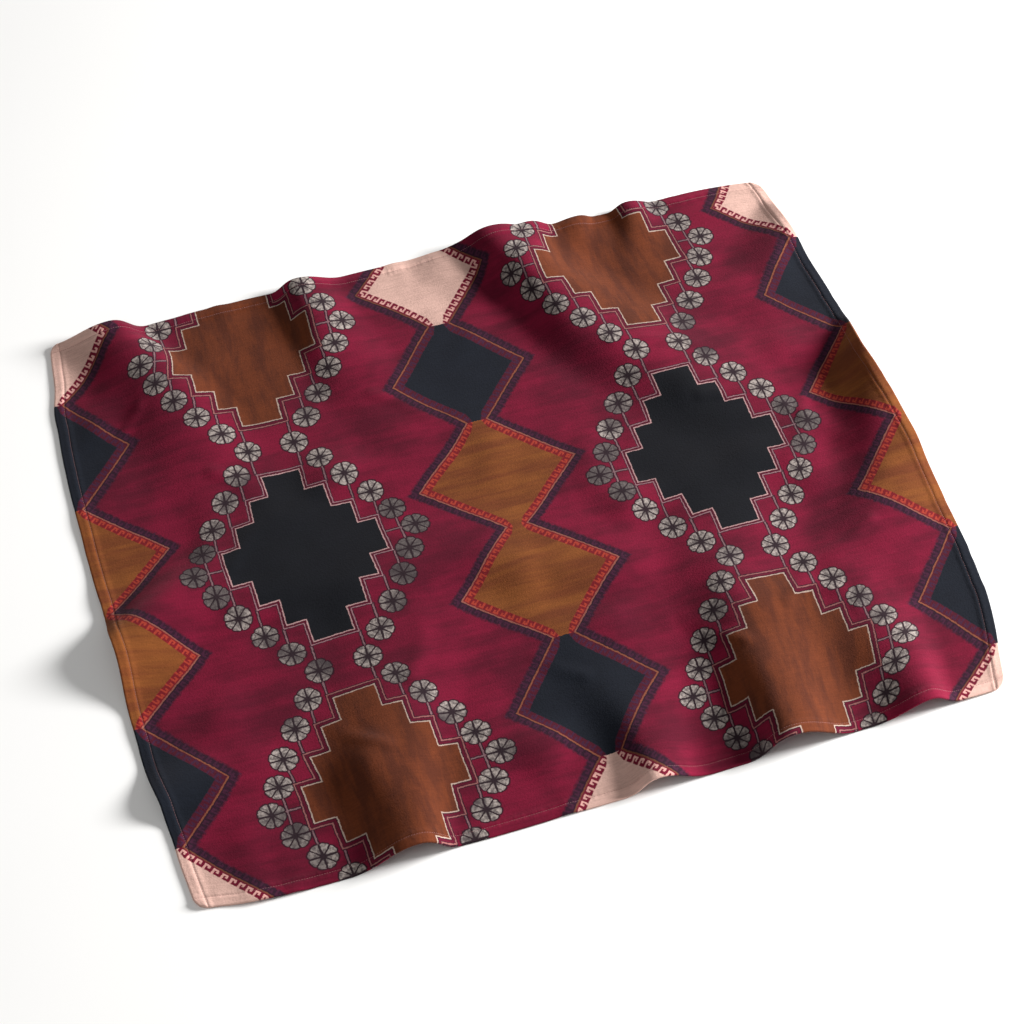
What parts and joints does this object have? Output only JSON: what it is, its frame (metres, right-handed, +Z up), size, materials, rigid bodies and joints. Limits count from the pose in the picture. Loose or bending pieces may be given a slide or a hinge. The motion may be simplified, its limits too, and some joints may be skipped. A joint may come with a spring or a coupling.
{
  "type": "throw blanket",
  "caption": "Plush fleece throw blanket with an all-over geometric rug-style print and a sewn hem, laid out on a flat surface in soft folds.",
  "frame": {"origin": "middle of the laid blanket's footprint, on the surface it lies on", "axes": "+X along the width, +Y towards the top edge of the print, +Z up from the surface through the cloth"},
  "size_m": [1.517, 1.27, 0.0545],
  "materials": {
    "printed_fleece": "short plush pile with a soft sheen, printed crimson with black, navy, rust, gold and cream figures"
  },
  "bodies": {
    "root": {"blanket": "printed_fleece"}
  },
  "joints": []
}
